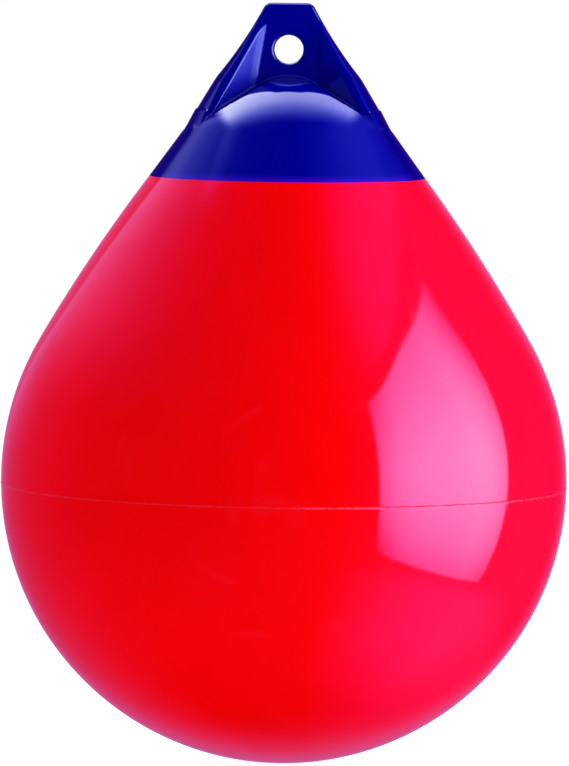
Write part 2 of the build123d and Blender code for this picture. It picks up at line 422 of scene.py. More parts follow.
class CapShape:
    """Eye cap as a field: negative inside, zero on the surface, growing with distance outside."""

    def __init__(self, cap):
        """Works out the outline's points, as (radius, height), and the circles of dome and waist."""
        self.cap = cap
        self.normal = np.array([np.cos(cap.slope), np.sin(cap.slope)])
        self.seam = np.array([SEAM_RADIUS, CAP_BOX[0].z])
        self.dome_height = -(cap.dome_drop + self.seam @ self.normal) / (1 - self.normal[1])
        self.dome_radius = -cap.dome_drop - self.dome_height
        self.foot = self.normal * self.dome_radius + [0, self.dome_height]
        self.top = np.array([cap.top_half_width, CAP_BOX[1].z])
        self.knee = np.array([cap.knee_half_width, -cap.knee_drop])
        chord = self.knee - self.top
        span = np.hypot(*chord)
        self.waist_radius = span**2 / (8 * cap.waist_hollow) + cap.waist_hollow / 2
        outward = np.array([-chord[1], chord[0]]) / span
        self.waist = (self.top + self.knee) / 2 + outward * (self.waist_radius - cap.waist_hollow)
        run = self.foot - self.knee
        self.inner_ledge = self.knee + run * (-cap.ledge_drop - self.knee[1]) / run[1]
        self.ledge = self.inner_ledge + [cap.ledge_width, 0]
        # A quarter of the width across over which the web is eased into the wall.
        self.corner = 0.36 * cap.pocket_corner

    def shoulder(self, radius, height):
        """Distance outside the cone and the dome that caps it.

        Over the dome it is the distance from the dome's centre less its radius, and elsewhere the
        offset from the seam along the cone's normal.
        """
        above = height - self.dome_height
        cone = (radius - self.seam[0]) * self.normal[0] + (height - self.seam[1]) * self.normal[1]
        on_dome = above * self.normal[0] > radius * self.normal[1]
        return np.where(on_dome, np.hypot(radius, above) - self.dome_radius, cone)

    def floor(self, across, height):
        """Distance above the pocket's floor, a gable rounded along its ridge.

        It is the distance from the axis of that rounding, or square to the slope, less the radius.
        """
        cap = self.cap
        above = height + cap.floor_drop + cap.floor_radius
        sine, cosine = np.sin(cap.floor_slope), np.cos(cap.floor_slope)
        slope = across * sine + above * cosine
        on_ridge = across * cosine < above * sine
        return np.where(on_ridge, np.hypot(across, above), slope) - cap.floor_radius

    def foot_field(self, across, deep, height):
        """Distance outside the shoulder with the pocket's floor let into it, as their rounded overlap."""
        shoulder = self.shoulder(np.hypot(across, deep), height)
        return circular_max(shoulder, self.floor(across, height), self.cap.pocket_edge)

    def shoulder_height(self, across, deep):
        """Height of that surface at a point of the plan: the lesser of the shoulder's and the floor's."""
        cap = self.cap
        radius = np.hypot(across, deep)
        dome = self.dome_height + np.sqrt(np.maximum(self.dome_radius**2 - radius**2, 0))
        cone = self.seam[1] + (self.seam[0] - radius) * self.normal[0] / self.normal[1]
        edge = cap.floor_radius * np.sin(cap.floor_slope)
        floor = np.sqrt(cap.floor_radius**2 - np.minimum(across, edge) ** 2) - cap.floor_radius
        floor = floor - np.maximum(across - edge, 0) * np.tan(cap.floor_slope) - cap.floor_drop
        return np.minimum(np.where(radius < self.foot[0], dome, cone), floor)

    def side(self, radius, height, upper, lower):
        """Distance outside the slanted line from an upper point to a lower one.

        It is the cross product of the offset from the upper point with the line's direction.
        """
        run = (lower - upper) / np.hypot(*(lower - upper))
        return (height - upper[1]) * run[0] - (radius - upper[0]) * run[1]

    def blank(self, radius, height):
        """Distance outside the turned blank of the eye.

        The waist's hollow arc is cut by a line down from the knee, and joined to a line down from
        the ledge that is cut off at the ledge's height.
        """
        cap = self.cap
        waist = self.waist_radius - np.hypot(radius - self.waist[0], height - self.waist[1])
        upper = circular_max(waist, self.side(radius, height, self.knee, self.foot), cap.knee_rounding)
        lower = self.side(radius, height, self.ledge, self.foot)
        lower = circular_max(lower, height - self.ledge[1], cap.ledge_rounding)
        return circular_min(upper, lower, cap.ledge_rounding)

    def blank_radius(self, height):
        """Radius of that blank at a height, on its arc or one of its lines, without the roundings."""
        sagitta = np.sqrt(np.maximum(self.waist_radius**2 - (height - self.waist[1]) ** 2, 0))
        slant = (self.foot - self.ledge)[0] / (self.foot - self.ledge)[1]
        radius = self.ledge[0] + (height - self.ledge[1]) * slant
        run = self.inner_ledge - self.knee
        upper = self.knee[0] + (height - self.knee[1]) * run[0] / run[1]
        radius = np.where(height > self.ledge[1], upper, radius)
        return np.where(height > self.knee[1], self.waist[0] - sagitta, radius)

    def web_half(self, height):
        """Half of the web's width at a height: it grows downwards by the slope's tangent."""
        return self.cap.pocket_half_width + (self.cap.pocket_top - height) * np.tan(self.cap.pocket_slope)

    def flare(self, height):
        """How far the cheeks' front faces stand out from the web at a height.

        It is the drop below the pocket's top times the flare's tangent, eased at its start.
        """
        rise = (self.cap.pocket_top - height) * np.tan(self.cap.cheek_flare)
        return -eased_min(-rise, 0, MM)

    def wall(self, across, height):
        """How far the pocket's wall stands out from the web: as far as it is past the web's edge, eased."""
        return -eased_min(self.web_half(height) - across, 0, 2 * self.corner)

    def front(self, across, height):
        """Half thickness of the eye: the web's and the lesser of wall and flare, with a rounded edge."""
        flare = self.flare(height)
        rounding = np.minimum(self.cap.edge_rounding, 0.6 * flare)
        return self.cap.web_thickness / 2 + eased_min(self.wall(across, height), flare, rounding)

    def __call__(self, points):
        """Field at points in any array shape.

        The web's field is the depth past its half thickness over the length of that surface's normal.
        It is cut by the blank, the top and the bore, and joined to the shoulder by a fillet that is
        wider inside the pockets.
        """
        across, deep, height = np.abs(points[..., 0]), np.abs(points[..., 1]), points[..., 2]
        cap, step = self.cap, 0.2 * MM
        radius = np.hypot(across, deep)
        slope_x = (self.front(across + step, height) - self.front(across - step, height)) / (2 * step)
        slope_z = (self.front(across, height + step) - self.front(across, height - step)) / (2 * step)
        field = (deep - self.front(across, height)) / np.sqrt(1 + slope_x**2 + slope_z**2)
        field = circular_max(field, self.blank(radius, height), cap.edge_rounding)
        field = circular_max(field, height - self.top[1], cap.top_rounding)
        field = circular_max(field, cap.bore_radius - np.hypot(across, height), cap.bore_rounding)
        inside = eased(self.flare(height) - self.wall(across, height), 0, 4 * MM)
        fillet = cap.foot_rounding + (cap.floor_rounding - cap.foot_rounding) * inside
        return circular_min(field, self.foot_field(across, deep, height), fillet)

    def gradient(self, points):
        """Slope of the field along each axis, by central differences."""
        steps = np.eye(3) * MICRON
        return np.stack([(self(points + s) - self(points - s)) / (2 * MICRON) for s in steps], axis=-1)

    def dullness_and_painted_light(self, points):
        """Dullness of the mould, 0 for a polished surface.

        It is 1 on the pockets' floors near the web, inside an ellipse whose edge is eased, where the cap's
        material paints shade, and a half on the pockets' left walls only, where it paints the light on them.
        """
        across, deep, height = np.abs(points[..., 0]), np.abs(points[..., 1]), points[..., 2]
        rise = self.wall(across, height)
        inside = eased(self.flare(height) - rise, 0, MM)
        on_foot = 1 - eased(np.abs(self.foot_field(across, deep, height)), 0.2 * MM, 1.5 * MM)
        # In front of the web the patch is fully dull, and there the cap's material paints shade.
        near_web = 1 - eased(np.hypot(1.6 * across, deep), 33 * MM, 39 * MM)
        # Left walls only, half dull, so that the cap's material paints on them the light that falls there.
        walls = eased(rise, 0.1 * MM, 1.5 * MM) * inside * (1 - on_foot) * (points[..., 0] < 0)
        return np.maximum(0.5 * walls, on_foot * near_web * inside)

    def settle(self, points):
        """Moves points along the field's slope onto the surface, by Newton steps of a millimetre at most."""
        for _ in range(NEWTON_STEPS):
            slope = self.gradient(points)
            step = self(points)[..., None] * slope / np.sum(slope**2, axis=-1, keepdims=True)
            size = np.linalg.norm(step, axis=-1, keepdims=True)
            points = points - step * np.minimum(1, MM / np.maximum(size, MICRON))
        return points


def blocks(stations, counts):
    """Numbers spread between stations, the given count to each gap."""
    index = np.concatenate([[0], np.cumsum(counts)])
    return np.interp(np.arange(index[-1] + 1), index, stations)


class CapColumns:
    """Columns of the eye's surface, from the middle of the web round to the silhouette.

    They come in blocks, each with a count of its own. The last block runs round the blank's side and
    the others lie in front. SEAM_ANGLES are where the blocks' lines reach the seam.
    """

    COUNTS = [16, 5, 6, 12, 5, 4, 2, 18]
    SEAM_ANGLES = [0, 16, 20, 24, 44, 47, 56, 60, 90]
    BORE_ROWS = 28

    def __init__(self, shape):
        """Gives each column its place: a block's number plus the share of that block."""
        self.shape = shape
        self.last = len(self.COUNTS) - 1
        self.place = blocks(np.arange(len(self.COUNTS) + 1), self.COUNTS)

    def stations(self, height):
        """Distances across at which the columns' blocks meet: bore, web corner, wall, cheek and side."""
        shape = self.shape
        low = np.minimum(height, self.bore_frame())
        depth = np.maximum(shape.flare(low), 2 * MM)
        web, cheek = shape.web_half(low), self.cheek_edge(low)
        edge = web + depth
        lines = [
            0 * low,
            0 * low + self.bore_frame(),
            web - shape.corner,
            web + np.minimum(shape.corner, depth / 2),
            edge - np.minimum(1.5 * MM, 0.35 * depth),
            edge + 1.5 * MM,
            cheek - 1.5 * MM,
            cheek,
        ]
        return np.stack(lines, axis=-1) * (self.cheek_edge(height) / cheek)[..., None]

    def bore_frame(self):
        """Half side of the square of web round the bore."""
        return self.shape.cap.bore_radius + self.shape.cap.bore_rounding + 2 * MM

    def cheek_edge(self, height):
        """Distance across of the cheek's outer front edge."""
        half = self.shape.cap.web_thickness / 2 + self.shape.flare(height)
        return np.sqrt(np.maximum(self.shape.blank_radius(height) ** 2 - half**2, MM**2))

    def points(self, height):
        """Points of every column at heights given as an array of (rows, columns).

        In front, a point lies between two stations at the eye's half thickness. Round the side, it
        turns on the blank's radius from the cheek's edge to the silhouette.
        """
        shape = self.shape
        lines = self.stations(height)
        place = np.minimum(self.place, self.last)
        left = np.minimum(place.astype(int), self.last - 1)
        share = place - left
        column = np.arange(len(place))
        across = lines[:, column, left] * (1 - share) + lines[:, column, left + 1] * share
        radius = shape.blank_radius(height)
        half = shape.cap.web_thickness / 2 + shape.flare(height)
        turn = np.arcsin(np.clip(half / radius, 0, 1)) * (1 - np.maximum(self.place - self.last, 0))
        side = self.place > self.last
        across = np.where(side, radius * np.cos(turn), across)
        face = np.minimum(shape.front(across, height), np.sqrt(np.maximum(radius**2 - across**2, 0)))
        deep = np.where(side, radius * np.sin(turn), face)
        return np.stack([across, -deep, height], axis=-1)

    def roots(self):
        """Height where each column meets the shoulder, by halving the interval."""
        low = np.full((1, len(self.place)), self.shape.foot[1] - 8 * MM)
        high = np.full_like(low, -self.bore_frame())
        for _ in range(HALVINGS):
            middle = (low + high) / 2
            point = self.points(middle)
            outside = self.shape.foot_field(point[..., 0], -point[..., 1], middle) > 0
            low, high = np.where(outside, low, middle), np.where(outside, middle, high)
        return high


# Shares of the climb from the roots to the square round the bore, and the rows between them.
CLIMB = [0, 0.08, 0.38, 0.46, 1]
CLIMB_ROWS = [10, 12, 16, 14]
# Rows from that square to the top's rounding, over the rounding, and across half of the top.
SIDE_ROWS, TOP_ROWS, LID_ROWS = 12, 8, 8
# Rows from the eye's foot to the seam, and the power that crowds them near the foot.
SHOULDER_ROWS, SHOULDER_CROWDING = 45, 1.6
# Rows of the bore's rings: on the flat, over the rim and down the wall.
FLAT_ROWS, RIM_ROWS, WALL_ROWS = 4, 8, 4


def eye_grid(columns):
    """Rows of the eye's surface, and the number of the row where the square round the bore begins.

    They rise from the roots to the square, past it and up to the top edge, and then close over the
    top by shrinking the depth to nothing.
    """
    frame_half = columns.bore_frame()
    roots = columns.roots()
    top = columns.shape.top[1]
    rise = blocks(CLIMB, CLIMB_ROWS)[:, None]
    lower = roots + (-frame_half - roots) * rise
    middle = np.linspace(-frame_half, frame_half, columns.BORE_ROWS + 1)[1:, None] + 0 * roots
    upper = blocks([frame_half, top - 5 * MM, top], [SIDE_ROWS, TOP_ROWS])[1:, None] + 0 * roots
    grid = columns.points(np.concatenate([lower, middle, upper]))
    over = np.linspace(1, 0, LID_ROWS + 1)[1:, None, None]
    lid = grid[-1:] * np.concatenate([np.ones_like(over), over, np.ones_like(over)], axis=-1)
    return np.concatenate([grid, lid]), len(lower) - 1


def shoulder_grid(columns, roots):
    """Rows of the shoulder: each runs from the eye's foot to the seam, straight as seen from above."""
    shape = columns.shape
    turn = np.radians(np.interp(columns.place, np.arange(len(columns.SEAM_ANGLES)), columns.SEAM_ANGLES))
    rim = shape.seam[0] * np.stack([np.sin(turn), -np.cos(turn)], axis=-1)
    travel = (np.linspace(0, 1, SHOULDER_ROWS + 1) ** SHOULDER_CROWDING)[:, None, None]
    plan = roots[None, :, :2] * (1 - travel) + rim * travel
    height = shape.shoulder_height(plan[..., 0], plan[..., 1])
    return np.concatenate([plan, height[..., None]], axis=-1)


def bore_grid(shape, outline):
    """Rings from the square round the bore to its rim, over the rim's rounding and half through the bore.

    The flat part is a blend between the square and the rim, and the rounding is a quarter circle.
    """
    cap = shape.cap
    turn = np.arctan2(outline[:, 2], outline[:, 0])
    around = np.stack([np.cos(turn), np.sin(turn)], axis=-1)
    rim, half = cap.bore_radius + cap.bore_rounding, cap.web_thickness / 2
    share = np.linspace(0, 1, FLAT_ROWS + 1)[:, None, None]
    flat = outline[None, :, [0, 2]] * (1 - share) + rim * around * share
    bend = np.linspace(0, np.pi / 2, RIM_ROWS + 1)[1:, None, None]
    curve = (rim - cap.bore_rounding * np.sin(bend)) * around
    through = np.linspace(half - cap.bore_rounding, 0, WALL_ROWS + 1)[1:]
    wall = np.ones((WALL_ROWS, 1, 1)) * cap.bore_radius * around
    deep = np.concatenate([
        np.full(len(flat), half),
        half - cap.bore_rounding * (1 - np.cos(bend.ravel())),
        through,
    ])
    plan = np.concatenate([flat, curve, wall])
    deep = deep[:, None] + 0 * plan[..., 0]
    grid = np.stack([plan[..., 0], -deep, plan[..., 1]], axis=-1)
    grid[0] = outline
    return grid


def facing_out(shape, grid, quads):
    """Points and quads of a grid, wound so that their normals agree with the field's slope on the whole."""
    points = grid.reshape(-1, 3)
    normal = np.cross(points[quads[:, 2]] - points[quads[:, 0]], points[quads[:, 3]] - points[quads[:, 1]])
    agreement = np.sum(normal * shape.gradient(points[quads].mean(axis=1)))
    return points, quads[:, ::-1] if agreement < 0 else quads


def quarter_surface(shape):
    """Points and quads of the front right quarter: eye, shoulder and bore, without the foot's disc.

    Eye and shoulder are settled on the field's zero surface and share the eye's root. The bore's
    rings start from the outline of the square that is left out of the eye.
    """
    columns = CapColumns(shape)
    eye, first_row = eye_grid(columns)
    last_row, last_column = first_row + columns.BORE_ROWS, columns.COUNTS[0]
    eye = shape.settle(eye)
    shoulder = shape.settle(shoulder_grid(columns, columns.points(columns.roots())[0]))
    shoulder[0] = eye[0]
    outline = np.concatenate([
        eye[first_row, : last_column + 1],
        eye[first_row + 1 : last_row, last_column],
        eye[last_row, last_column::-1],
    ])
    bore = bore_grid(shape, outline)
    eye_quads = grid_quads(*eye.shape[:2]).reshape(eye.shape[0] - 1, eye.shape[1] - 1, 4)
    keep = np.ones(eye_quads.shape[:2], bool)
    keep[first_row:last_row, :last_column] = False
    return joined([
        facing_out(shape, eye, eye_quads[keep]),
        facing_out(shape, shoulder, grid_quads(*shoulder.shape[:2])),
        facing_out(shape, bore, grid_quads(*bore.shape[:2])),
    ])


def cap_surface(cap):
    """Points, faces, normals and dullness of the cap.

    A quarter is mirrored left to right and front to back, with its quads turned round where it is
    mirrored once. The normals are the field's slope, and the dull values also say where the cap's
    material paints light and shade. A disc of triangles closes the foot.
    """
    shape = CapShape(cap)
    points, quads = quarter_surface(shape)
    copies = []
    for x, y in ((1, 1), (-1, 1), (-1, -1), (1, -1)):
        copies.append((points * [x, y, 1], quads if x * y > 0 else quads[:, ::-1]))
    points, faces, _ = weld(*joined(copies))
    normals = shape.gradient(points)
    dull = shape.dullness_and_painted_light(points)
    rim = np.flatnonzero(np.abs(points[:, 2] - shape.seam[1]) < 10 * MICRON)
    rim = rim[np.argsort(np.arctan2(points[rim, 1], points[rim, 0]))]
    centre = len(points)
    points = np.concatenate([points, [[0, 0, shape.seam[1]]]])
    normals = np.concatenate([normals, [[0, 0, -1]]])
    dull = np.append(dull, 0)
    faces += [[centre, after, before] for before, after in zip(rim.tolist(), np.roll(rim, -1).tolist())]
    return points, faces, normals, dull


class BuildCap(bpy.types.Operator):
    """Build the moulded eye cap"""

    bl_idname = "buoy.build_cap"
    bl_label = "Eye cap"

    def execute(self, context):
        """Puts the cap's surface into a mesh."""
        points, faces, normals, dull = cap_surface(context.scene.buoy.cap)
        add_piece("cap_skin", points, faces, blue_vinyl(), "blue_vinyl", ["rope_eye_cap"], normals, dull=dull)
        return {"FINISHED"}


# ---- Valve ----


# Edges of the valve's turned pieces bent by more than this stay sharp.
SMOOTH_ANGLE = np.radians(35)
# Lines across the screw's head on each side of its slot.
HEAD_LINES = 18


def on_cone(points, context):
    """Carries points from the valve's frame, whose Z stands out of the cone at the back, into the buoy's.

    They are turned about X to the cone's slope and moved to the cone's radius at the valve's height.
    """
    buoy = context.scene.buoy
    slope, drop = buoy.cap.slope, buoy.valve.drop
    radius = SEAM_RADIUS - (-drop - CAP_BOX[0].z) * np.tan(slope)
    axes = np.array([[1, 0, 0], [0, np.sin(slope), -np.cos(slope)], [0, np.cos(slope), np.sin(slope)]])
    return points @ axes + [0, radius, -drop]


def rounded(profile, sizes, steps=4):
    """Profile of (radius, height) points, whose corners become quadratic arcs of the given sizes.

    Each arc starts and ends its size away from the corner, or half way to the next one if that is less.
    """
    curve = []
    for before, corner, after, size in zip(profile, profile[1:], profile[2:], sizes):
        before, corner, after = np.array(before), np.array(corner), np.array(after)
        start = corner + (before - corner) * min(0.5, size / np.hypot(*(before - corner)))
        end = corner + (after - corner) * min(0.5, size / np.hypot(*(after - corner)))
        for t in np.linspace(0, 1, steps + 1):
            curve.append((1 - t) ** 2 * start + 2 * t * (1 - t) * corner + t**2 * end)
    return np.array([profile[0], *curve, profile[-1]])


def add_rings(name, rings, context, *finish):
    """Piece of the valve, from rings of points that run outwards over its top, down and inwards."""
    rings = rings[::-1]
    points, faces, _ = weld(rings.reshape(-1, 3), grid_quads(*rings.shape[:2], closed=True))
    add_piece(name, on_cone(points, context), faces, *finish, sharp=SMOOTH_ANGLE)


class BuildBoss(bpy.types.Operator):
    """Build the valve's boss, whose foot follows the cone"""

    bl_idname = "buoy.build_boss"
    bl_label = "Valve boss"

    def execute(self, context):
        """Turns the boss and lowers its foot to the cone, by the square of the distance across.

        That square is divided by twice the radius of the cone's bend at the seam, and the lowering
        eases out above the foot.
        """
        valve, cap = context.scene.buoy.valve, context.scene.buoy.cap
        radius, height, foot = valve.boss_radius, valve.boss_height, valve.boss_foot
        under = [(radius + 2 * foot, -0.2 * foot), (0, -3 * foot)]
        profile = [(0, height), (radius, height), (radius, 0), *under]
        profile = rounded(profile, [valve.boss_edge, foot, 0.1 * MM], steps=6)
        rings = turned(profile, valve.columns)
        bend = SEAM_RADIUS / np.cos(cap.slope)
        follow = eased(-rings[..., 2], -0.7 * height, 0)
        rings[..., 2] -= follow * rings[..., 0] ** 2 / (2 * bend)
        add_rings("valve_boss", rings, context, blue_vinyl(), "blue_vinyl")
        return {"FINISHED"}


class BuildInsert(bpy.types.Operator):
    """Build the valve's flanged insert"""

    bl_idname = "buoy.build_insert"
    bl_label = "Valve insert"

    def execute(self, context):
        """Turns the flange, the barrel and the hole, which closes the profile."""
        valve = context.scene.buoy.valve
        low, high = valve.boss_height, valve.boss_height + valve.flange_thickness
        hole, flange, barrel = valve.hole_radius, valve.flange_radius, valve.insert_radius
        foot = low - valve.insert_depth
        profile = [(hole, low), (hole, high), (flange, high), (flange, low), (barrel, low), (barrel, foot)]
        roundings = np.array([0.3, 0.5, 0.2, 0.1, 0.1, 0.1]) * MM
        rings = turned(rounded([*profile, (hole, foot), (hole, low)], roundings), valve.columns)
        add_rings("insert_skin", rings, context, white_nylon(), "white_nylon", ["valve_insert"])
        return {"FINISHED"}


class BuildWasher(bpy.types.Operator):
    """Build the valve's sealing washer"""

    bl_idname = "buoy.build_washer"
    bl_label = "Valve washer"

    def execute(self, context):
        """Turns the washer's rounded section, from the middle of its hole round to there again."""
        valve = context.scene.buoy.valve
        low = valve.boss_height + valve.flange_thickness
        high, hole, radius = low + valve.washer_thickness, valve.hole_radius, valve.head_radius
        profile = [(hole, (low + high) / 2), (hole, high), (radius, high), (radius, low), (hole, low)]
        roundings = np.array([0.1, 0.4, 0.4, 0.1]) * MM
        rings = turned(rounded([*profile, profile[0]], roundings), valve.columns)
        add_rings("washer_skin", rings, context, black_rubber(), "black_rubber", ["valve_washer"])
        return {"FINISHED"}


def screw_surface(valve):
    """Points and quads of the slotted screw.

    The head's top is laid out in lines along the slot, doubled at the slot's walls, where the height
    falls by the slot's depth. The lines' ends form the rim, which is carried down the side of the head
    and of the shank.
    """
    radius, flat, half = valve.head_radius, valve.head_radius - valve.head_chamfer, valve.slot_width / 2
    low = valve.boss_height + valve.flange_thickness + valve.washer_thickness
    top = low + valve.head_height
    outer = radius * np.cos(np.linspace(np.arccos(half / radius), 0, HEAD_LINES))
    lines = np.concatenate([-outer[::-1], [-half, 0, half], outer])
    sunk = np.zeros(len(lines))
    sunk[len(outer) : len(outer) + 3] = valve.slot_depth
    ends = np.sqrt(np.maximum(radius**2 - lines**2, 0))
    bends = np.sqrt(np.maximum(flat**2 - lines**2, 0))
    stations = np.stack([-ends, -bends, -bends / 2, 0 * ends, bends / 2, bends, ends], axis=1)
    plan = np.stack([stations, lines[:, None] + 0 * stations], axis=-1)
    slant = np.maximum(np.hypot(plan[..., 0], plan[..., 1]) - flat, 0)
    height = top - np.where(sunk[:, None] > 0, sunk[:, None], slant)
    face = np.concatenate([plan, height[..., None]], axis=-1)
    rim = np.concatenate([face[:, -1], face[::-1, 0]])
    shank = valve.screw_radius / radius
    foot = low - valve.screw_length
    levels = [(1, top - valve.slot_depth), (1, low), (shank, low), (shank, foot), (0, foot)]
    rings = [rim]
    for share, level in levels:
        rings.append(np.column_stack([rim[:, :2] * share, np.full(len(rim), level)]))
    side = np.stack(rings)
    side_quads = grid_quads(*side.shape[:2], closed=True)[:, ::-1]
    return joined([(face.reshape(-1, 3), grid_quads(*face.shape[:2])), (side.reshape(-1, 3), side_quads)])


class BuildScrew(bpy.types.Operator):
    """Build the valve's slotted screw"""

    bl_idname = "buoy.build_screw"
    bl_label = "Valve screw"

    def execute(self, context):
        """Puts the screw's surface in its place on the cone."""
        points, faces, _ = weld(*screw_surface(context.scene.buoy.valve))
        points, chamfer_angle = on_cone(points, context), np.radians(20)
        add_piece(
            "screw_skin", points, faces, white_nylon(), "white_nylon", ["valve_screw"], sharp=chamfer_angle
        )
        return {"FINISHED"}


# ---- Materials ----


def feed(tree, value, socket):
    """Gives a socket its value: a link where the value is another socket, a plain default otherwise."""
    if isinstance(value, bpy.types.NodeSocket):
        tree.links.new(value, socket)
    else:
        socket.default_value = value


def add_node(tree, kind, inputs=(), **settings):
    """New node, whose settings are made before its inputs are fed."""
    node = tree.nodes.new("ShaderNode" + kind)
    for setting, value in settings.items():
        setattr(node, setting, value)
    for socket, value in dict(inputs).items():
        feed(tree, value, node.inputs[socket])
    return node


def calculate(tree, operation, *numbers):
    """Result of a Math node."""
    return add_node(tree, "Math", enumerate(numbers), operation=operation).outputs["Value"]


def ramp(tree, value, start, end, low=0, high=1, smooth=False):
    """Result of a Map Range node: low up to start, high from end on, straight or smooth between."""
    inputs = {"Value": value, "From Min": start, "From Max": end, "To Min": low, "To Max": high}
    kind = "SMOOTHSTEP" if smooth else "LINEAR"
    return add_node(tree, "MapRange", inputs, interpolation_type=kind).outputs["Result"]


def blend(tree, share, first, second):
    """Result of a colour Mix node: the first colour where share is 0 and the second where it is 1."""
    inputs = {"Factor": share, "A": first, "B": second}
    return add_node(tree, "Mix", inputs, data_type="RGBA").outputs["Result"]


def noise(tree, place, scale, detail):
    """Noise over the given coordinates, from 0 to 1 and mostly near a half."""
    return add_node(tree, "TexNoise", {"Vector": place, "Scale": scale, "Detail": detail}).outputs["Fac"]


def object_place(tree):
    """Object coordinates, in metres."""
    return add_node(tree, "TexCoord").outputs["Object"]


def attribute(tree, name, output):
    """Output of the mesh's attribute of the given name."""
    return add_node(tree, "Attribute", attribute_name=name).outputs[output]


def principled(name, **values):
    """New node material with a Principled BSDF whose sockets take the given values."""
    material = bpy.data.materials.new(name)
    material.use_nodes = True
    shader = material.node_tree.nodes["Principled BSDF"]
    for socket, value in values.items():
        shader.inputs[socket.replace("_", " ")].default_value = value
    return material, shader


FINISH_INPUTS = {
    "Color": (0.8, 0.8, 0.8, 1),
    "Shade": (0.7, 0.7, 0.7, 1),
    "Roughness": 0.1,
    "Marks": 0.1,
    "Wave": 0.1,
    "Grain": 0.01,
}
FINISH_OUTPUTS = {"Color": "NodeSocketColor", "Roughness": "NodeSocketFloat", "Height": "NodeSocketFloat"}


def surface_finish():
    """Node group of a moulded plastic's finish, used by every material of the buoy.

    Broad noise shifts the colour from Color to Shade. Streaked noise adds up to Marks to the
    roughness, as faint rub marks. The height is a slow wave of the mould plus a fine grain.
    Everything rests on object coordinates.
    """
    group = bpy.data.node_groups.get("surface_finish")
    if group:
        return group
    group = bpy.data.node_groups.new("surface_finish", "ShaderNodeTree")
    for name, default in FINISH_INPUTS.items():
        kind = "NodeSocketFloat" if isinstance(default, float) else "NodeSocketColor"
        group.interface.new_socket(name, in_out="INPUT", socket_type=kind).default_value = default
    for name, kind in FINISH_OUTPUTS.items():
        group.interface.new_socket(name, in_out="OUTPUT", socket_type=kind)
    given = group.nodes.new("NodeGroupInput").outputs
    result = group.nodes.new("NodeGroupOutput").inputs
    place = object_place(group)
    drawn_out = {"Vector": place, "Rotation": (0.4, 0.9, 0.2), "Scale": (1, 9, 1)}
    streaks = add_node(group, "Mapping", drawn_out).outputs["Vector"]
    patches = ramp(group, noise(group, place, 9, 3), 0.35, 0.65)
    rubbed = ramp(group, noise(group, streaks, 30, 4), 0.56, 0.74, smooth=True)
    grain = calculate(group, "MULTIPLY", noise(group, place, 900, 1), given["Grain"])
    height = calculate(group, "MULTIPLY_ADD", noise(group, place, 11, 0), given["Wave"], grain)
    rough = calculate(group, "MULTIPLY_ADD", rubbed, given["Marks"], given["Roughness"])
    feed(group, blend(group, patches, given["Color"], given["Shade"]), result["Color"])
    feed(group, rough, result["Roughness"])
    feed(group, height, result["Height"])
    return group


def finished(name, colours, roughness, marks, wave, grain, **values):
    """Principled material whose colour, roughness and relief (in millimetres) come from the finish."""
    material, shader = principled(name, **values)
    tree = material.node_tree
    colour, shade = colours
    inputs = {"Color": (*colour, 1), "Shade": (*shade, 1), "Roughness": roughness}
    inputs.update({"Marks": marks, "Wave": wave, "Grain": grain})
    finish = add_node(tree, "Group", inputs, node_tree=surface_finish())
    bump = add_node(tree, "Bump", {"Height": finish.outputs["Height"], "Distance": MM})
    feed(tree, finish.outputs["Color"], shader.inputs["Base Color"])
    feed(tree, finish.outputs["Roughness"], shader.inputs["Roughness"])
    feed(tree, bump.outputs["Normal"], shader.inputs["Normal"])
    return material, shader, finish


def red_vinyl():
    """Glossy red vinyl. Where the flash was trimmed, flecks of noise make it paler and rougher."""
    look = bpy.context.scene.buoy.finish
    material, shader, finish = finished(
        "red_finish", (look.red, look.red_shade), look.gloss, marks=0.05, wave=0.12, grain=0.0006,
        IOR=1.9, Specular_Tint=(0.3, 0.3, 1, 1),
    )
    tree = material.node_tree
    flecks = noise(tree, object_place(tree), 260, 1)
    torn = ramp(tree, flecks, 0.42, 0.58, low=0.25, smooth=True)
    scar = calculate(tree, "MULTIPLY", attribute(tree, "dull", "Fac"), torn)
    feed(tree, ramp(tree, scar, 0, 1, look.gloss, 0.32), finish.inputs["Roughness"])
    feed(tree, blend(tree, scar, finish.outputs["Color"], (*look.trimmed, 1)), shader.inputs["Base Color"])
    return material


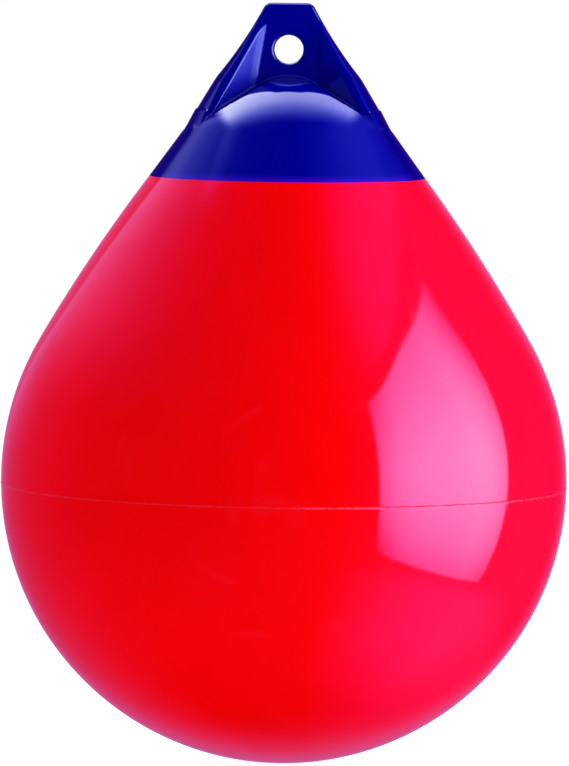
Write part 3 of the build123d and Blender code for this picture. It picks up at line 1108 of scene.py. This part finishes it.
def blue_vinyl():
    """Glossy dark blue vinyl, duller where the mesh says so and paler just above the colour line.

    A plain dark diffuse takes the gloss's place as painted shade where it is seen at a low angle and
    where it is dullest. A paler blue on the pockets' left walls is painted light, and a violet blue
    just above the colour line is a painted glow of the red float's light.
    """
    if bpy.data.materials.get("blue_finish"):
        return bpy.data.materials["blue_finish"]
    look = bpy.context.scene.buoy.finish
    material, shader, finish = finished(
        "blue_finish", (look.blue, look.blue_shade), look.gloss, marks=0.05, wave=0.05, grain=0.0006,
        IOR=1.9, Specular_Tint=(0.45, 0.5, 1, 1),
    )
    tree = material.node_tree
    dull = attribute(tree, "dull", "Fac")
    height = add_node(tree, "SeparateXYZ", {"Vector": object_place(tree)}).outputs["Z"]
    # Painted glow: a violet blue fading up from the colour line stands for the red float's light on the cap.
    line = CAP_BOX[0].z
    red_glow_share = ramp(tree, height, line, line + look.red_glow_reach, 0.7, 0, smooth=True)
    # Painted light: where the mask is a half or more, a paler blue stands for the light falling on the
    # pockets' left walls.
    colour = blend(tree, ramp(tree, dull, 0, 0.5), finish.outputs["Color"], (*look.painted_lit_blue, 1))
    colour = blend(tree, red_glow_share, colour, (*look.red_glow_blue, 1))
    # Painted shade: a darker plain blue replaces the gloss at low angles and on the dullest patch in front of
    # the web.
    facing = add_node(tree, "LayerWeight").outputs["Facing"]
    shaded_rim = ramp(tree, facing, 0.52, 0.72, high=0.92, smooth=True)
    shaded_patch = ramp(tree, dull, 0.2, 1, high=0.92)
    plain = add_node(tree, "BsdfDiffuse", {"Color": (*look.painted_shade_blue, 1)}).outputs["BSDF"]
    share = calculate(tree, "MAXIMUM", shaded_rim, shaded_patch)
    both = add_node(tree, "MixShader", {"Fac": share, 1: shader.outputs["BSDF"], 2: plain})
    feed(tree, ramp(tree, dull, 0, 1, look.gloss, 0.7), finish.inputs["Roughness"])
    feed(tree, colour, shader.inputs["Base Color"])
    feed(tree, both.outputs["Shader"], tree.nodes["Material Output"].inputs["Surface"])
    return material


def white_nylon():
    """Off-white nylon with a satin finish, a little of whose light passes under its surface."""
    if bpy.data.materials.get("nylon_finish"):
        return bpy.data.materials["nylon_finish"]
    look = bpy.context.scene.buoy.finish
    return finished(
        "nylon_finish", (look.nylon, look.nylon_shade), 0.38, marks=0.15, wave=0.02, grain=0.004,
        IOR=1.53, Subsurface_Weight=0.15, Subsurface_Scale=MM,
    )[0]


def black_rubber():
    """Matt black rubber with a fine grain."""
    look = bpy.context.scene.buoy.finish
    return finished(
        "rubber_finish", (look.rubber, look.rubber_shade), 0.7, marks=0.15, wave=0.02, grain=0.012, IOR=1.5
    )[0]


# ---- Studio ----


def lamp_material():
    """Light whose colour and strength are the mesh's "glow" attribute; what lies behind shows through."""
    material = bpy.data.materials.new("lamp")
    material.use_nodes = True
    tree = material.node_tree
    tree.nodes.clear()
    light = add_node(tree, "Emission", {"Color": attribute(tree, "glow", "Color")}).outputs["Emission"]
    clear = add_node(tree, "BsdfTransparent").outputs["BSDF"]
    both = add_node(tree, "AddShader", {0: light, 1: clear}).outputs["Shader"]
    add_node(tree, "OutputMaterial", {"Surface": both})
    return material


def add_stage_sheet(name, points, faces, material):
    """Mesh object of the studio."""
    mesh = bpy.data.meshes.new(name)
    mesh.from_pydata(points, [], faces)
    mesh.materials.append(material)
    sheet = bpy.data.objects.new(name, mesh)
    bpy.context.scene.collection.objects.link(sheet)
    return sheet


def add_lamp(name, points, strength, least_green=0.25, warm=0):
    """Sheet of light on a grid of points, which the camera doesn't see.

    Blue is the strength, and green is the strength times a share that grows with it, so the light is
    blue where weak and white where strong. Red is as much as green, and warm adds to it.
    """
    faces = grid_quads(*points.shape[:2]).tolist()
    material = bpy.data.materials.get("lamp") or lamp_material()
    sheet = add_stage_sheet(name, points.reshape(-1, 3).tolist(), faces, material)
    strength = np.maximum(strength, 0)
    green = strength * (least_green + 0.19 * strength)
    light = np.stack([green + warm, green, strength, np.ones_like(strength)], axis=-1)
    sheet.data.attributes.new("glow", "FLOAT_COLOR", "POINT").data.foreach_set("color", light.ravel())
    sheet.visible_camera = False
    return sheet


# Points along each side of the softbox and of the ceiling.
PANEL_POINTS = 61


def panel_grid(start, end, low, high):
    """Two coordinates over an even grid, the first from start to end and the second from low to high."""
    return np.meshgrid(np.linspace(start, end, PANEL_POINTS), np.linspace(low, high, PANEL_POINTS))


def add_softbox(studio):
    """Upright panel at the right, whose back edge leans and whose top falls towards the front.

    Its light falls by powers of the distance from the height where it is brightest, and again
    towards its front and its back.
    """
    # Its edges in metres, along from the point nearest the buoy and up from the bore's centre.
    front, back, foot, tall = -1.3, 0.57, -1.12, 2.25
    brightest = -0.1
    share, rise = panel_grid(0, 1, 0, 1)
    along = front + share * (back - front)
    height = foot + rise * (tall - 0.2 * eased(-along, 0.35, 1.2))
    along += share * 0.15 * height
    sine, cosine = np.sin(studio.softbox_turn), np.cos(studio.softbox_turn)
    distance = studio.softbox_distance
    points = np.stack([distance * sine + along * cosine, along * sine - distance * cosine, height], axis=-1)
    away = np.abs(height - brightest)
    fall = 1 - np.where(height > brightest, 0.36 * away**1.3, 0.54 * away**2)
    fall -= 0.49 * np.maximum(-0.3 - along, 0) ** 2.8
    fall -= 1.5 * np.maximum(along, 0) ** 2
    add_lamp("softbox", points, studio.softbox_strength * fall)


def add_ceiling(studio):
    """Panel overhead, whose light fades out along a curve at its front and at its two sides.

    It grows towards the left and falls a little towards the right, in step with the distance.
    """
    half_width, front, back = 1.5, -0.4, 1.8
    across, along = panel_grid(-half_width, half_width, front, back)
    points = np.stack([across, along, studio.ceiling_height + 0 * across], axis=-1)
    bow = np.where(across < 0, 0.15, 0.35) * across**2
    fade = eased(along - bow, -0.45, 0.6) * (1 - eased(np.abs(across), 1.15, half_width))
    level = 1 - np.where(across < 0, 0.4, 0.1) * across
    add_lamp("ceiling", points, studio.ceiling_strength * level * fade)


def add_surround(studio):
    """Dull walls all round, which only reflections show: dark in front, paler at the right and behind.

    Azimuth is 0 in front and 90 degrees at the right; elevation is 0 at the horizon. Each feature is
    a brightness times bands of azimuth and elevation, and the features are added up.
    """
    azimuth, elevation = np.meshgrid(np.linspace(-180, 180, 361), np.linspace(-90, 90, 181))
    turn, tilt = np.radians(azimuth), np.radians(elevation)
    towards = np.stack([np.cos(tilt) * np.sin(turn), -np.cos(tilt) * np.cos(turn), np.sin(tilt)], axis=-1)
    # The wall at the right and a paler bench along its foot, which fades towards the back.
    right = eased(azimuth, 15, 75) * (1 - 0.65 * eased(azimuth, 100, 160))
    wall = 0.42 * band(elevation, -85, -50, 52, 76)
    bench = 0.45 * band(elevation, -85, -44, -38, -29) * (1 - 0.5 * eased(azimuth, 95, 130))
    # A valance above the softbox, with a lower edge bowed down to both sides.
    above_edge = elevation - 45 + 0.0055 * (azimuth - 80) ** 2
    valance = 0.27 * band(azimuth, 35, 62, 137, 150) * eased(above_edge, -1, 1)
    valance *= 1 - eased(elevation, 48, 70)
    # The left, which pales towards the back, and a slanting screen there that fades from its one edge.
    left = 0.42 * np.clip((-60 - azimuth) / 110, 0, 1) ** 2 * eased(elevation, -72, -35)
    past_edge = azimuth + 141 + 0.65 * (25 - elevation)
    screen = np.exp(-np.maximum(past_edge, 0) / (12 + 10 * eased(elevation, 5, 35)))
    screen *= eased(past_edge, -1, 1) * eased(elevation, -12, 5)
    screen *= 0.5 + 0.6 * eased(elevation, 5, 30) - 0.4 * eased(elevation, 38, 55)
    behind = 0.35 * eased(azimuth, 140, 180) * band(elevation, -70, -30, 10, 40)
    strength = right * (wall + bench) + valance + left + screen + behind
    # Both ends of the walls are drawn to their mean where they meet, so that no seam shows.
    meeting = eased(np.abs(azimuth), 150, 180)
    strength += meeting * (strength[:, [0, -1]].mean(axis=1, keepdims=True) - strength)
    least_green = 0.25 - 0.2 * band(azimuth, 15, 75, 140, 170)
    off_back = np.degrees(np.arccos(np.clip(towards[..., 1], -1, 1)))
    # A warm spot right behind the buoy, as a bell curve of the angle from there.
    warm = 0.65 * np.exp(-((off_back / 25) ** 2))
    sheet = add_lamp("surround", studio.surround_radius * towards, strength, least_green, warm)
    sheet.visible_diffuse = False
    sheet.visible_shadow = False


def studio_world(ambient, lean):
    """White behind the buoy, and soft light on it from all sides that reflections don't show.

    The soft light grows by lean towards the left and falls by as much towards the right.
    """
    world = bpy.data.worlds.new("studio")
    world.use_nodes = True
    tree = world.node_tree
    ray = add_node(tree, "LightPath").outputs
    towards = add_node(tree, "TexCoord").outputs["Generated"]
    right = add_node(tree, "SeparateXYZ", {"Vector": towards}).outputs["X"]
    level = calculate(tree, "MULTIPLY_ADD", right, -ambient * lean, ambient)
    unreflected = blend(tree, ray["Is Glossy Ray"], level, (0, 0, 0, 1))
    seen = blend(tree, ray["Is Camera Ray"], unreflected, (1, 1, 1, 1))
    feed(tree, seen, tree.nodes["Background"].inputs["Color"])
    return world


def add_floor(studio):
    """Wide pale floor, kept out of reflections.

    Its colour takes the buoy's shadow and a glow lifts it near to white. Further from the buoy it
    turns into a plain white glow like the backdrop.
    """
    size, height, grey = studio.floor_size, CAD_BOX[0][2] - studio.floor_gap, studio.floor_grey
    corners = [(-size, -size, height), (size, -size, height), (size, size, height), (-size, size, height)]
    colour = (grey, grey, grey, 1)
    material, shader = principled("floor", Base_Color=colour, Roughness=0.9, Specular_IOR_Level=0)
    tree = material.node_tree
    flat = add_node(tree, "VectorMath", {0: object_place(tree), 1: (1, 1, 0)}, operation="MULTIPLY")
    reach = add_node(tree, "VectorMath", {0: flat.outputs["Vector"]}, operation="LENGTH")
    away = ramp(tree, reach.outputs["Value"], studio.floor_near, studio.floor_far, smooth=True)
    lift = add_node(tree, "Emission", {"Strength": studio.floor_glow}).outputs["Emission"]
    near = add_node(tree, "AddShader", {0: shader.outputs["BSDF"], 1: lift}).outputs["Shader"]
    white = add_node(tree, "Emission").outputs["Emission"]
    both = add_node(tree, "MixShader", {"Fac": away, 1: near, 2: white}).outputs["Shader"]
    feed(tree, both, tree.nodes["Material Output"].inputs["Surface"])
    add_stage_sheet("floor", corners, [(0, 1, 2, 3)], material).visible_glossy = False


def add_camera(scene):
    """Camera in front of the buoy, a little above its eye, turned to its middle and rolled slightly."""
    view = scene.buoy.camera
    data = bpy.data.cameras.new("camera")
    camera = bpy.data.objects.new("camera", data)
    scene.collection.objects.link(camera)
    scene.camera = camera
    camera.location = (0, -view.distance, view.height)
    aim = Vector((view.aim_across, 0, view.aim_height)) - camera.location
    turn = aim.to_track_quat("-Z", "Y").to_matrix() @ Matrix.Rotation(view.roll, 3, "Z")
    camera.rotation_euler = turn.to_euler()
    data.lens = view.focal_length
    data.clip_end = 50


class BuildStage(bpy.types.Operator):
    """Build the floor, the lamps, the world and the camera"""

    bl_idname = "buoy.build_stage"
    bl_label = "Studio"

    def execute(self, context):
        """Sets the view to plain colours and adds each part of the studio."""
        scene = context.scene
        scene.view_settings.view_transform = "Standard"
        studio = scene.buoy.studio
        scene.world = studio_world(studio.ambient, studio.lean)
        add_floor(studio)
        add_camera(scene)
        add_softbox(studio)
        add_ceiling(studio)
        add_surround(studio)
        return {"FINISHED"}


# ---- Panel and start ----


class BuoyPanel(bpy.types.Panel):
    """Sidebar panel of the buoy's operators and settings"""

    bl_idname = "BUOY_PT_builders"
    bl_label = "Mooring Buoy"
    bl_space_type = "VIEW_3D"
    bl_region_type = "UI"
    bl_category = "Buoy"

    def draw(self, context):
        """Lists the operators, then a box of settings for each group."""
        for operator in OPERATORS:
            self.layout.operator(operator.bl_idname)
        for group in BuoySettings.__annotations__:
            box = self.layout.box()
            settings = getattr(context.scene.buoy, group)
            for setting in type(settings).__annotations__:
                box.prop(settings, setting)


SETTINGS = [FloatSettings, CapSettings, ValveSettings, FinishSettings, StudioSettings, CameraSettings]
OPERATORS = [BuildFloat, BuildCap, BuildBoss, BuildInsert, BuildWasher, BuildScrew, BuildStage]
CLASSES = [*SETTINGS, BuoySettings, *OPERATORS, BuoyPanel]


def register():
    """Registers the classes and gives every scene its settings."""
    for each in CLASSES:
        bpy.utils.register_class(each)
    bpy.types.Scene.buoy = bpy.props.PointerProperty(type=BuoySettings)


def unregister():
    """Takes the settings and the classes away again."""
    del bpy.types.Scene.buoy
    for each in reversed(CLASSES):
        bpy.utils.unregister_class(each)


def main():
    register()
    bpy.ops.buoy.build_float()
    bpy.ops.buoy.build_cap()
    bpy.ops.buoy.build_boss()
    bpy.ops.buoy.build_insert()
    bpy.ops.buoy.build_washer()
    bpy.ops.buoy.build_screw()
    bpy.ops.buoy.build_stage()


if __name__ == "__main__":
    main()
